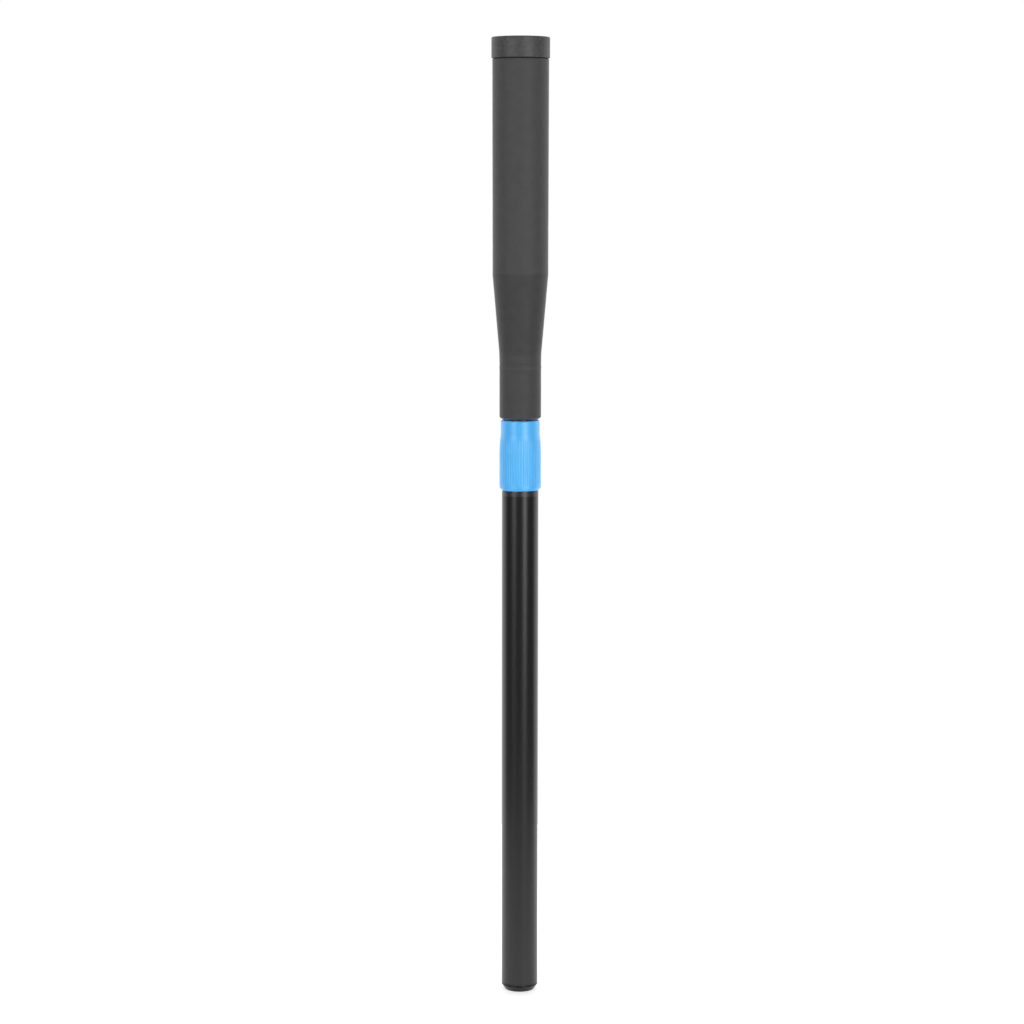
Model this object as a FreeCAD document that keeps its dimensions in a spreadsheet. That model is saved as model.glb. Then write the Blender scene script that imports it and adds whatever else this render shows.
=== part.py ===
import FreeCAD, Part
import Sketcher
import os

# A two-section boom pole, closed up and standing on its microphone end.
# The origin is the centre of the tip's flat face and +Z runs up the pole to the butt cap.
# Everything is turned about Z. Lengths are in millimetres.

doc = FreeCAD.newDocument("boom_pole")

# ---------------------------------------------------------------------------------------
# Driving dimensions, one cell each. Every other size is a formula on these.
# ---------------------------------------------------------------------------------------

SIZES = {
    # the two drawn aluminium tubes, and the ring of space between them
    "inner_tube_radius": 12.5,
    "inner_tube_wall": 1.5,
    "tube_space": 1.25,
    "outer_tube_wall": 1.6,
    "outer_tube_length": 420.9,
    # tip plug and its brass insert (3/8 inch thread, 16 to the inch)
    "tip_flange_proud": 0.05,
    "tip_bevel_width": 3.5,
    "tip_bevel_height": 4.5,
    "tip_flange_height": 5.9,
    "tip_spigot_length": 27.1,
    "mic_thread_radius": 3.99,
    "mic_thread_depth": 14.0,
    "insert_wall": 3.01,
    "insert_end_wall": 4.0,
    # rubber buffer that the inner tube closes onto
    "buffer_thickness": 6.0,
    "buffer_width": 9.0,
    "buffer_side_gap": 0.5,
    "buffer_gap": 0.3,
    # lower end of the inner tube: plug, guide ring and stop ring
    "end_flange_thickness": 2.5,
    "end_flange_gap": 0.3,
    "end_spigot_length": 16.0,
    "end_spigot_wall": 6.0,
    "glide_length": 22.0,
    "glide_end_gap": 0.15,
    "glide_bore_gap": 0.05,
    "glide_tube_gap": 0.08,
    "glide_slit": 1.5,
    "stop_ring_length": 4.0,
    "stop_ring_gap": 0.25,
    # ferrule bonded in the outer tube's mouth
    "ferrule_spigot_length": 26.0,
    "ferrule_flange_height": 4.3,
    "ferrule_chamfer": 0.6,
    "ferrule_nose_length": 30.4,
    "guide_gap": 0.08,
    "thread_inset": 0.8,
    "thread_gap": 0.06,
    "seat_depth": 6.5,
    "seat_mouth_wall": 0.6,
    # dust ring in the ferrule's lower groove
    "dust_ring_section": 1.4,
    "dust_groove_depth": 1.1,
    "dust_groove_width": 1.6,
    "dust_groove_rise": 1.9,
    # snap ring that keeps the collar on the ferrule
    "snap_groove_depth": 1.2,
    "snap_ring_depth": 1.0,
    "snap_ring_thickness": 1.0,
    "snap_ring_proud": 0.38,
    "snap_ring_split": 5.0,
    "snap_side_gap": 0.05,
    "snap_gap": 0.33,
    # the lock's thread, and how far the collar turns to free the tube
    "lock_pitch": 2.0,
    "unlock_angle": 120.0,
    # split collet and the washer above it
    "collet_bore_gap": 0.06,
    "collet_seat_gap": 0.05,
    "collet_nose_rise": 2.5,
    "collet_rim_gap": 0.35,
    "collet_rim_width": 0.4,
    "collet_rim_height": 2.0,
    "collet_rim_rise": 0.3,
    "collet_height": 9.3,
    "collet_slit": 1.2,
    "collet_slit_end": 2.4,
    "washer_bore_gap": 0.3,
    "washer_side_gap": 0.3,
    "washer_thickness": 0.8,
    "washer_face_gap": 0.15,
    # locking collar, its radii measured out from the outer tube's
    "collar_foot_gap": 0.4,
    "collar_length": 58.8,
    "collar_lip_proud": 0.85,
    "collar_lip_height": 1.4,
    "collar_grip_proud": 2.2,
    "collar_grip_top": 31.5,
    "collar_flare_height": 11.0,
    "collar_step_proud": 1.5,
    "collar_step_height": 4.5,
    "collar_nose_proud": 1.0,
    "collar_foot_round": 0.6,
    "collar_nose_round": 1.3,
    "collar_bore_gap": 0.4,
    "skirt_depth": 5.4,
    "skirt_gap": 0.06,
    "lock_thread_length": 15.0,
    "relief_gap": 0.07,
    "flute_foot": 4.6,
    "flute_end": 1.0,
    "flute_radius": 0.8,
    "flute_depth": 0.3,
    # wiper seal in the collar's nose
    "wiper_depth": 3.4,
    "wiper_height": 3.6,
    "wiper_width": 1.4,
    "wiper_body_gap": 0.6,
    "wiper_lip_gap": 0.06,
    "wiper_lip_height": 0.7,
    # foam grip, as thicknesses of foam over the inner tube
    "grip_gap": 1.0,
    "neck_foot_foam": 3.3,
    "neck_bevel_height": 1.5,
    "neck_foam": 4.95,
    "neck_length": 53.4,
    "cone_length": 66.7,
    "barrel_foot_foam": 10.72,
    "barrel_foam": 11.0,
    "barrel_length": 177.5,
    # butt plug, gasket, cap and its M6 screw
    "butt_flange_thickness": 2.5,
    "butt_flange_proud": 1.5,
    "butt_spigot_length": 24.0,
    "gasket_thickness": 1.0,
    "gasket_inset": 1.5,
    "cap_proud": 0.75,
    "cap_height": 17.2,
    "cap_top_round": 0.9,
    "cap_foot_round": 0.4,
    "cap_recess_gap": 0.35,
    "cap_recess_depth": 9.0,
    "screw_radius": 3.0,
    "screw_hole_gap": 0.3,
    "screw_length": 25.0,
    "screw_head_radius": 5.0,
    "screw_head_height": 6.0,
    "screw_socket_across": 5.0,
    "screw_socket_depth": 3.0,
    "cap_washer_radius": 6.25,
    "cap_washer_thickness": 1.6,
}
FLUTE_COUNT = 48
SLITS_PER_END = 3

sheet = doc.addObject("Spreadsheet::Sheet", "Sizes")
for row, (alias, number) in enumerate(SIZES.items(), start=1):
    sheet.set(f"A{row}", alias)
    sheet.set(f"B{row}", str(number))
    sheet.setAlias(f"B{row}", alias)
doc.recompute()


class Size(str):
    """A formula on the sheet. Adding, taking away, scaling and dividing make longer formulas."""

    def __add__(self, other):
        return Size(f"({self} + {other})")

    def __sub__(self, other):
        return Size(f"({self} - {other})")

    def __mul__(self, factor):
        return Size(f"({self} * {factor})")

    def __truediv__(self, divisor):
        return Size(f"({self} / {divisor})")

    def value(self):
        return float(sheet.evalExpression(self))


def size(alias):
    """The formula that reads one cell of the sheet."""
    if alias not in SIZES:
        raise KeyError(alias)
    return Size(f"Sizes.{alias}")


# ---------------------------------------------------------------------------------------
# Ways of making a piece
# ---------------------------------------------------------------------------------------


def origin_feature(body, role):
    return [feature for feature in body.Origin.OriginFeatures if feature.Role == role][0]


def place_corner(sketch, line, radius, height):
    """Ties the start of one line of a sketch to a radius and a height on the sheet."""
    for axis, kind, formula in ((-2, "DistanceX", radius), (-1, "DistanceY", height)):
        if formula == "0":
            sketch.addConstraint(Sketcher.Constraint("PointOnObject", line, 1, axis))
        else:
            number = sketch.addConstraint(
                Sketcher.Constraint(kind, -1, 1, line, 1, Size(formula).value())
            )
            sketch.setExpression(f"Constraints[{number}]", formula)


def closed_outline(body, name, corners, plane="XZ_Plane"):
    """A sketch of straight sides through (across, up) corners, each a pair of formulas."""
    sketch = body.newObject("Sketcher::SketchObject", name)
    sketch.AttachmentSupport = [(origin_feature(body, plane), "")]
    sketch.MapMode = "FlatFace"
    points = [
        FreeCAD.Vector(0 if x == "0" else Size(x).value(), 0 if y == "0" else Size(y).value(), 0)
        for x, y in corners
    ]
    count = len(points)
    for i in range(count):
        sketch.addGeometry(Part.LineSegment(points[i], points[(i + 1) % count]), False)
    for i in range(count):
        sketch.addConstraint(Sketcher.Constraint("Coincident", i, 2, (i + 1) % count, 1))
    for i, (across, up) in enumerate(corners):
        place_corner(sketch, i, across, up)
    return sketch


def turned(name, corners):
    """A body turned about Z from a closed outline of (radius, height) corners."""
    body = doc.addObject("PartDesign::Body", name)
    sketch = closed_outline(body, f"{name}_outline", corners)
    turn = body.newObject("PartDesign::Revolution", f"{name}_turn")
    turn.Profile = sketch
    turn.ReferenceAxis = (sketch, ["V_Axis"])
    turn.Angle = 360
    doc.recompute()
    return body


def round_edges(body, name, rim_radius, rim_height, round_size):
    """Rounds the circular edge that lies at one radius and height."""
    base = body.Tip
    rims = [
        f"Edge{number}"
        for number, edge in enumerate(base.Shape.Edges, start=1)
        if edge.Curve.TypeId == "Part::GeomCircle"
        and abs(edge.Curve.Radius - rim_radius.value()) < 1e-6
        and abs(edge.Curve.Center.z - rim_height.value()) < 1e-6
    ]
    fillet = body.newObject("PartDesign::Fillet", name)
    fillet.Base = (base, rims)
    fillet.setExpression("Radius", round_size)
    doc.recompute()


def cut_pattern(body, name, sketch, length, count, upward=False):
    """Cuts a sketch into a body, then repeats the cut evenly about Z, and checks that it cut."""
    before = body.Shape.Volume
    cut = body.newObject("PartDesign::Pocket", f"{name}_cut")
    cut.Profile = sketch
    cut.setExpression("Length", length)
    cut.Reversed = upward
    doc.recompute()
    if count > 1:
        pattern = body.newObject("PartDesign::PolarPattern", f"{name}_ring")
        pattern.Originals = [cut]
        pattern.Axis = (origin_feature(body, "Z_Axis"), [""])
        pattern.Angle = 360
        pattern.Occurrences = count
        body.Tip = pattern
        doc.recompute()
    if body.Shape.Volume >= before:
        raise ValueError(f"{name} cut nothing")


def slit_outline(body, name, width, foot, top):
    """A narrow upright rectangle, centred on the axis, that is cut sideways as a slit."""
    half = width / 2
    return closed_outline(
        body,
        name,
        [(Size("-1") * half, foot), (half, foot), (half, top), (Size("-1") * half, top)],
    )


# ---------------------------------------------------------------------------------------
# Shared radii, and levels up the pole from the tip's face at 0
# ---------------------------------------------------------------------------------------

inner_radius = size("inner_tube_radius")
inner_bore = inner_radius - size("inner_tube_wall")
bore_radius = inner_radius + size("tube_space")
outer_radius = bore_radius + size("outer_tube_wall")

tube_foot = size("tip_flange_height")
tube_top = tube_foot + size("outer_tube_length")
spigot_top = tube_foot + size("tip_spigot_length")
buffer_top = spigot_top + size("buffer_thickness")

end_plug_foot = buffer_top + size("buffer_gap")
inner_foot = end_plug_foot + size("end_flange_thickness")
glide_foot = inner_foot + size("glide_end_gap")
glide_top = glide_foot + size("glide_length")
stop_foot = glide_top + size("glide_end_gap")
stop_top = stop_foot + size("stop_ring_length")

ferrule_foot = tube_top - size("ferrule_spigot_length")
flange_top = tube_top + size("ferrule_flange_height")
ferrule_top = flange_top + size("ferrule_nose_length")
seat_foot = ferrule_top - size("seat_depth")
ferrule_bore = inner_radius + size("guide_gap")
thread_radius = outer_radius - size("thread_inset")
seat_mouth = thread_radius - size("seat_mouth_wall")

collar_foot = flange_top + size("collar_foot_gap")
collar_top = collar_foot + size("collar_length")
lock_thread_foot = collar_foot + size("skirt_depth")
lock_thread_top = lock_thread_foot + size("lock_thread_length")
unlock_lift = size("lock_pitch") * size("unlock_angle") / 360

dust_groove_foot = flange_top + size("dust_groove_rise")
dust_groove_top = dust_groove_foot + size("dust_groove_width")
dust_groove_floor = thread_radius - size("dust_groove_depth")
dust_ring_radius = dust_groove_floor + size("dust_ring_section") / 2
skirt_bore = dust_groove_floor + size("dust_ring_section") + size("skirt_gap")

snap_ring_foot = lock_thread_top + unlock_lift + size("snap_gap")
snap_ring_top = snap_ring_foot + size("snap_ring_thickness")
snap_groove_floor = thread_radius - size("snap_groove_depth")
snap_ring_outside = thread_radius + size("snap_ring_proud")
relief_radius = snap_ring_outside + size("relief_gap")

collet_foot = seat_foot + size("collet_nose_rise")
collet_top = ferrule_top + size("collet_height")
collet_bore = inner_radius + size("collet_bore_gap")
washer_foot = collet_top + size("washer_face_gap")
washer_top = washer_foot + size("washer_thickness")
collar_shoulder = washer_top + size("washer_face_gap")

grip_foot = collar_top + size("grip_gap")
neck_top = grip_foot + size("neck_length")
cone_top = neck_top + size("cone_length")
grip_top = cone_top + size("barrel_length")
inner_top = grip_top - size("butt_flange_thickness")
cap_foot = grip_top + size("gasket_thickness")
cap_top = cap_foot + size("cap_height")
recess_floor = cap_top - size("cap_recess_depth")
screw_seat = recess_floor + size("cap_washer_thickness")

# ---------------------------------------------------------------------------------------
# Outer section: tube, tip, buffer and the fixed half of the lock
# ---------------------------------------------------------------------------------------

turned(
    "outer_tube",
    [
        (bore_radius, tube_foot),
        (outer_radius, tube_foot),
        (outer_radius, tube_top),
        (bore_radius, tube_top),
    ],
)

# The tip plug's spigot is bonded in the tube. Its bevelled flange is the pole's front face,
# and the brass insert sits flush in it.
tip_flange_radius = outer_radius + size("tip_flange_proud")
insert_radius = size("mic_thread_radius") + size("insert_wall")
insert_length = size("mic_thread_depth") + size("insert_end_wall")
turned(
    "tip_plug",
    [
        (insert_radius, "0"),
        (tip_flange_radius - size("tip_bevel_width"), "0"),
        (tip_flange_radius, size("tip_bevel_height")),
        (tip_flange_radius, tube_foot),
        (bore_radius, tube_foot),
        (bore_radius, spigot_top),
        ("0", spigot_top),
        ("0", insert_length),
        (insert_radius, insert_length),
    ],
)

# The insert's thread is drawn as a plain wall at the thread's minor radius.
turned(
    "thread_insert",
    [
        (size("mic_thread_radius"), "0"),
        (insert_radius, "0"),
        (insert_radius, insert_length),
        ("0", insert_length),
        ("0", size("mic_thread_depth")),
        (size("mic_thread_radius"), size("mic_thread_depth")),
    ],
)

buffer_radius = bore_radius - size("buffer_side_gap")
turned(
    "buffer_pad",
    [
        (buffer_radius - size("buffer_width"), spigot_top),
        (buffer_radius, spigot_top),
        (buffer_radius, buffer_top),
        (buffer_radius - size("buffer_width"), buffer_top),
    ],
)

# The ferrule guides the inner tube, shows as a plain ring between tube and collar, and carries
# the lock's outside thread (drawn plain) and the cone that closes the collet.
turned(
    "lock_ferrule",
    [
        (ferrule_bore, ferrule_foot),
        (bore_radius, ferrule_foot),
        (bore_radius, tube_top),
        (outer_radius, tube_top),
        (outer_radius, flange_top - size("ferrule_chamfer")),
        (outer_radius - size("ferrule_chamfer"), flange_top),
        (thread_radius, flange_top),
        (thread_radius, dust_groove_foot),
        (dust_groove_floor, dust_groove_foot),
        (dust_groove_floor, dust_groove_top),
        (thread_radius, dust_groove_top),
        (thread_radius, snap_ring_foot - size("snap_side_gap")),
        (snap_groove_floor, snap_ring_foot - size("snap_side_gap")),
        (snap_groove_floor, snap_ring_top + size("snap_side_gap")),
        (thread_radius, snap_ring_top + size("snap_side_gap")),
        (thread_radius, ferrule_top),
        (seat_mouth, ferrule_top),
        (ferrule_bore, seat_foot),
    ],
)

dust_ring = doc.addObject("Part::Torus", "dust_ring")
dust_ring.setExpression("Radius1", dust_ring_radius)
dust_ring.setExpression("Radius2", size("dust_ring_section") / 2)
dust_ring.setExpression(
    "Placement.Base.z", dust_groove_foot + size("dust_groove_width") / 2
)

snap_ring = turned(
    "snap_ring",
    [
        (snap_ring_outside - size("snap_ring_depth"), snap_ring_foot),
        (snap_ring_outside, snap_ring_foot),
        (snap_ring_outside, snap_ring_top),
        (snap_ring_outside - size("snap_ring_depth"), snap_ring_top),
    ],
)
snap_split = slit_outline(
    snap_ring,
    "snap_ring_split",
    size("snap_ring_split"),
    snap_ring_foot - size("snap_side_gap"),
    snap_ring_top + size("snap_side_gap"),
)
cut_pattern(snap_ring, "snap_ring", snap_split, snap_ring_outside, 1)

# The collet is one springy ring. Slits from its foot and slits from its top take turns around it.
collet_rim_radius = relief_radius - size("collet_rim_gap")
collet_sleeve_radius = collet_rim_radius - size("collet_rim_width")
collet_rim_foot = ferrule_top + size("collet_rim_rise")
collet_rim_top = collet_rim_foot + size("collet_rim_height")
seat_slope = (seat_mouth - ferrule_bore) / size("seat_depth")
collet = turned(
    "collet",
    [
        (collet_bore, collet_foot),
        (
            ferrule_bore + seat_slope * size("collet_nose_rise") - size("collet_seat_gap"),
            collet_foot,
        ),
        (seat_mouth - size("collet_seat_gap"), ferrule_top),
        (seat_mouth - size("collet_seat_gap"), collet_rim_foot),
        (collet_rim_radius, collet_rim_foot),
        (collet_rim_radius, collet_rim_top),
        (collet_sleeve_radius, collet_rim_top),
        (collet_sleeve_radius, collet_top),
        (collet_bore, collet_top),
    ],
)
lower_slit = slit_outline(
    collet,
    "collet_lower_slit",
    size("collet_slit"),
    collet_foot - size("collet_slit"),
    collet_top - size("collet_slit_end"),
)
cut_pattern(collet, "collet_lower", lower_slit, relief_radius, SLITS_PER_END)
upper_slit = slit_outline(
    collet,
    "collet_upper_slit",
    size("collet_slit"),
    collet_foot + size("collet_slit_end"),
    collet_top + size("collet_slit"),
)
cut_pattern(collet, "collet_upper", upper_slit, relief_radius, SLITS_PER_END, True)

# ---------------------------------------------------------------------------------------
# Turning half of the lock
# ---------------------------------------------------------------------------------------

turned(
    "thrust_washer",
    [
        (inner_radius + size("washer_bore_gap"), washer_foot),
        (relief_radius - size("washer_side_gap"), washer_foot),
        (relief_radius - size("washer_side_gap"), washer_top),
        (inner_radius + size("washer_bore_gap"), washer_top),
    ],
)

grip_radius = outer_radius + size("collar_grip_proud")
nose_radius = outer_radius + size("collar_nose_proud")
nose_bore = inner_radius + size("collar_bore_gap")
wiper_seat_radius = nose_bore + size("wiper_width")
wiper_top = collar_top - size("wiper_depth")
wiper_foot = wiper_top - size("wiper_height")
lip_top = collar_foot + size("collar_lip_height")
grip_edge = collar_foot + size("collar_grip_top")
flare_top = grip_edge + size("collar_flare_height")

collar = turned(
    "locking_collar",
    [
        (skirt_bore, collar_foot),
        (outer_radius + size("collar_lip_proud"), collar_foot),
        (outer_radius + size("collar_lip_proud"), lip_top),
        (grip_radius, lip_top),
        (grip_radius, grip_edge),
        (outer_radius + size("collar_step_proud"), flare_top),
        (nose_radius, flare_top + size("collar_step_height")),
        (nose_radius, collar_top),
        (nose_bore, collar_top),
        (nose_bore, wiper_top),
        (wiper_seat_radius, wiper_top),
        (wiper_seat_radius, wiper_foot),
        (nose_bore, wiper_foot),
        (nose_bore, collar_shoulder),
        (relief_radius, collar_shoulder),
        (relief_radius, lock_thread_top),
        (thread_radius + size("thread_gap"), lock_thread_top),
        (thread_radius + size("thread_gap"), lock_thread_foot),
        (skirt_bore, lock_thread_foot),
    ],
)
round_edges(collar, "collar_foot_rim", grip_radius, lip_top, size("collar_foot_round"))
round_edges(collar, "collar_nose_rim", nose_radius, collar_top, size("collar_nose_round"))

# Shallow flutes up the straight part of the collar.
flute = collar.newObject("Sketcher::SketchObject", "collar_flute")
flute.AttachmentSupport = [(origin_feature(collar, "XY_Plane"), "")]
flute.MapMode = "FlatFace"
flute.setExpression("AttachmentOffset.Base.z", collar_foot + size("flute_foot"))
flute_centre = grip_radius + size("flute_radius") - size("flute_depth")
flute.addGeometry(
    Part.Circle(
        FreeCAD.Vector(flute_centre.value(), 0, 0),
        FreeCAD.Vector(0, 0, 1),
        size("flute_radius").value(),
    ),
    False,
)
flute.addConstraint(Sketcher.Constraint("PointOnObject", 0, 3, -1))
for kind, formula in (("DistanceX", flute_centre), ("Radius", size("flute_radius"))):
    if kind == "Radius":
        number = flute.addConstraint(Sketcher.Constraint(kind, 0, formula.value()))
    else:
        number = flute.addConstraint(
            Sketcher.Constraint(kind, -1, 1, 0, 3, formula.value())
        )
    flute.setExpression(f"Constraints[{number}]", formula)
flute_length = size("collar_grip_top") - size("flute_foot") - size("flute_end")
cut_pattern(collar, "collar_flutes", flute, flute_length, FLUTE_COUNT, True)

turned(
    "wiper_seal",
    [
        (inner_radius + size("wiper_body_gap"), wiper_foot),
        (wiper_seat_radius, wiper_foot),
        (wiper_seat_radius, wiper_top),
        (inner_radius + size("wiper_lip_gap"), wiper_top),
        (inner_radius + size("wiper_lip_gap"), wiper_top - size("wiper_lip_height")),
        (inner_radius + size("wiper_body_gap"), wiper_top - size("wiper_height") / 2),
    ],
)

# ---------------------------------------------------------------------------------------
# Inner section: tube and the rings on its lower end
# ---------------------------------------------------------------------------------------

turned(
    "inner_tube",
    [
        (inner_bore, inner_foot),
        (inner_radius, inner_foot),
        (inner_radius, inner_top),
        (inner_bore, inner_top),
    ],
)

# Its hole lets air past as the pole opens and closes.
turned(
    "end_plug",
    [
        (inner_bore - size("end_spigot_wall"), end_plug_foot),
        (bore_radius - size("end_flange_gap"), end_plug_foot),
        (bore_radius - size("end_flange_gap"), inner_foot),
        (inner_bore, inner_foot),
        (inner_bore, inner_foot + size("end_spigot_length")),
        (inner_bore - size("end_spigot_wall"), inner_foot + size("end_spigot_length")),
    ],
)

glide_ring = turned(
    "glide_ring",
    [
        (inner_radius + size("glide_bore_gap"), glide_foot),
        (bore_radius - size("glide_tube_gap"), glide_foot),
        (bore_radius - size("glide_tube_gap"), glide_top),
        (inner_radius + size("glide_bore_gap"), glide_top),
    ],
)
glide_slit = slit_outline(
    glide_ring,
    "glide_ring_slit",
    size("glide_slit"),
    glide_foot - size("glide_slit"),
    glide_top + size("glide_slit"),
)
cut_pattern(glide_ring, "glide_ring", glide_slit, bore_radius, 1)

# The stop ring meets the ferrule's foot when the pole is fully out.
turned(
    "stop_ring",
    [
        (inner_radius, stop_foot),
        (bore_radius - size("stop_ring_gap"), stop_foot),
        (bore_radius - size("stop_ring_gap"), stop_top),
        (inner_radius, stop_top),
    ],
)

# ---------------------------------------------------------------------------------------
# Handle: foam grip, butt plug, gasket, cap and screw
# ---------------------------------------------------------------------------------------

barrel_radius = inner_radius + size("barrel_foam")
butt_flange_radius = inner_radius + size("butt_flange_proud")
turned(
    "foam_grip",
    [
        (inner_radius, grip_foot),
        (inner_radius + size("neck_foot_foam"), grip_foot),
        (inner_radius + size("neck_foam"), grip_foot + size("neck_bevel_height")),
        (inner_radius + size("neck_foam"), neck_top),
        (inner_radius + size("barrel_foot_foam"), cone_top),
        (barrel_radius, grip_top),
        (butt_flange_radius, grip_top),
        (butt_flange_radius, inner_top),
        (inner_radius, inner_top),
    ],
)

turned(
    "butt_plug",
    [
        (size("screw_radius"), inner_top - size("butt_spigot_length")),
        (inner_bore, inner_top - size("butt_spigot_length")),
        (inner_bore, inner_top),
        (butt_flange_radius, inner_top),
        (butt_flange_radius, grip_top),
        (size("screw_radius"), grip_top),
    ],
)

screw_hole = size("screw_radius") + size("screw_hole_gap")
turned(
    "cap_gasket",
    [
        (screw_hole, grip_top),
        (barrel_radius - size("gasket_inset"), grip_top),
        (barrel_radius - size("gasket_inset"), cap_foot),
        (screw_hole, cap_foot),
    ],
)

cap_radius = barrel_radius + size("cap_proud")
cap_recess_radius = size("cap_washer_radius") + size("cap_recess_gap")
cap = turned(
    "butt_cap",
    [
        (screw_hole, cap_foot),
        (cap_radius, cap_foot),
        (cap_radius, cap_top),
        (cap_recess_radius, cap_top),
        (cap_recess_radius, recess_floor),
        (screw_hole, recess_floor),
    ],
)
round_edges(cap, "cap_top_rim", cap_radius, cap_top, size("cap_top_round"))
round_edges(cap, "cap_foot_rim", cap_radius, cap_foot, size("cap_foot_round"))

turned(
    "cap_washer",
    [
        (screw_hole, recess_floor),
        (size("cap_washer_radius"), recess_floor),
        (size("cap_washer_radius"), screw_seat),
        (screw_hole, screw_seat),
    ],
)

screw_blank = turned(
    "screw_blank",
    [
        ("0", screw_seat - size("screw_length")),
        (size("screw_radius"), screw_seat - size("screw_length")),
        (size("screw_radius"), screw_seat),
        (size("screw_head_radius"), screw_seat),
        (size("screw_head_radius"), screw_seat + size("screw_head_height")),
        ("0", screw_seat + size("screw_head_height")),
    ],
)
screw_socket = doc.addObject("Part::Prism", "screw_socket")
screw_socket.Polygon = 6
screw_socket.setExpression("Circumradius", size("screw_socket_across") / "sqrt(3)")
screw_socket.setExpression("Height", size("screw_socket_depth") * 2)
screw_socket.setExpression(
    "Placement.Base.z",
    screw_seat + size("screw_head_height") - size("screw_socket_depth"),
)
cap_screw = doc.addObject("Part::Cut", "cap_screw")
cap_screw.Base = screw_blank
cap_screw.Tool = screw_socket
doc.recompute()

# ---------------------------------------------------------------------------------------
# Every feature is checked before any file is written, one file for each piece
# ---------------------------------------------------------------------------------------

NODES = [
    "outer_tube",
    "tip_plug",
    "thread_insert",
    "buffer_pad",
    "lock_ferrule",
    "dust_ring",
    "snap_ring",
    "collet",
    "thrust_washer",
    "locking_collar",
    "wiper_seal",
    "inner_tube",
    "end_plug",
    "glide_ring",
    "stop_ring",
    "foam_grip",
    "butt_plug",
    "cap_gasket",
    "butt_cap",
    "cap_washer",
    "cap_screw",
]

for item in doc.Objects:
    if {"Invalid", "Error"} & set(item.State):
        raise ValueError(f"{item.Name} failed: {item.State}")

travel = (ferrule_foot - stop_top).value()
print(f"closed length {cap_top.value():.2f}, free travel {travel:.2f}")
print(f"collar lift {unlock_lift.value():.4f}, pole clamp length {SIZES['outer_tube_length']}")

os.makedirs("parts", exist_ok=True)
for name in NODES:
    piece = doc.getObjectsByLabel(name)[0]
    shape = piece.Shape
    if shape.isNull() or not shape.isValid() or len(shape.Solids) != 1:
        raise ValueError(f"{name} is not one valid solid")
    shape.exportStep(f"parts/{name}.step")
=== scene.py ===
import bmesh
import bpy
import math
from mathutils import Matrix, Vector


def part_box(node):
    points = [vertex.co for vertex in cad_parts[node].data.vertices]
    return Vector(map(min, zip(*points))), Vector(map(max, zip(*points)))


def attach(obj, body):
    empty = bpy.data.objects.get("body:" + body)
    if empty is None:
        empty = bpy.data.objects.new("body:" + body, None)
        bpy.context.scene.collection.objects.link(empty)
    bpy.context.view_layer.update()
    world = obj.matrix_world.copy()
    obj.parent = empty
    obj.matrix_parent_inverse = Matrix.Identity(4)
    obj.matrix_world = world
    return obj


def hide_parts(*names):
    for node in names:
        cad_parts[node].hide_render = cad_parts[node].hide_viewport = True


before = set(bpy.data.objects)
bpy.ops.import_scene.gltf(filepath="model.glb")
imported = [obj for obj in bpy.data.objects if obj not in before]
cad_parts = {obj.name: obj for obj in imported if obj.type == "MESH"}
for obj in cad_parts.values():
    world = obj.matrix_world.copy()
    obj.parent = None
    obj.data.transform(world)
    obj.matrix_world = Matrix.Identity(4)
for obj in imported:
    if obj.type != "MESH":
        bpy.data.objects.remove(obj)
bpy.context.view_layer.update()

# Outer tube -----------------------------------------------------------------------------
# The front section is a drawn aluminium tube, black anodised, which leaves a satin surface
# with faint draw lines along it. Its ends are faced square and lightly deburred.

MM = 0.001
ROUND = 192
SMALL_ROUND = 96
WELD = 0.001 * MM
SMOOTH_MARGIN = 10


def turned(name, outline, sides=ROUND, capped=False):
    """Turns (radius, height) corners about Z: a closed outline, or an open one with capped ends."""
    bpy.ops.object.select_all(action="DESELECT")
    radius, height = outline[0]
    bpy.ops.mesh.primitive_circle_add(vertices=sides, radius=radius, location=(0, 0, height))
    bpy.ops.object.transform_apply(location=True, rotation=True, scale=True)
    piece = bpy.context.object
    piece.name = piece.data.name = name
    bpy.ops.object.mode_set(mode="EDIT")
    bpy.ops.mesh.select_all(action="SELECT")
    for next_radius, next_height in outline[1:] + ([] if capped else outline[:1]):
        rise = (0, 0, next_height - height)
        bpy.ops.mesh.extrude_edges_move(TRANSFORM_OT_translate={"value": rise})
        grow = next_radius / radius
        bpy.ops.transform.resize(value=(grow, grow, 1), center_override=(0, 0, next_height))
        radius, height = next_radius, next_height
    bpy.ops.mesh.select_all(action="SELECT")
    bpy.ops.mesh.remove_doubles(threshold=WELD)
    if capped:
        bpy.ops.mesh.fill_holes(sides=0)
    bpy.ops.mesh.select_all(action="SELECT")
    bpy.ops.mesh.normals_make_consistent(inside=False)
    bpy.ops.object.mode_set(mode="OBJECT")
    return piece


def apply_modifier(piece, kind, **settings):
    bpy.context.view_layer.objects.active = piece
    bpy.ops.object.modifier_add(type=kind)
    modifier = piece.modifiers[-1]
    for setting, value in settings.items():
        setattr(modifier, setting, value)
    bpy.ops.object.modifier_apply(modifier=modifier.name)


def break_edges(piece, width, segments=3, sharp=30):
    """Rounds the corners left by turning, and keeps the flats shaded flat."""
    if width:
        apply_modifier(
            piece,
            "BEVEL",
            width=width,
            segments=segments,
            limit_method="ANGLE",
            angle_limit=math.radians(sharp),
        )
    bpy.ops.object.select_all(action="DESELECT")
    piece.select_set(True)
    bpy.context.view_layer.objects.active = piece
    bpy.ops.object.shade_smooth_by_angle(angle=math.radians(sharp + SMOOTH_MARGIN))
    apply_modifier(piece, "WEIGHTED_NORMAL", keep_sharp=True)


def fitted(piece, body, slot, finish, *nodes):
    """Gives a finished piece its material and its body, and hides the solids it stands for; slot is not
    used.
    """
    piece.data.materials.clear()
    piece.data.materials.append(finish)
    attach(piece, body)
    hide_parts(*nodes)


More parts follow.
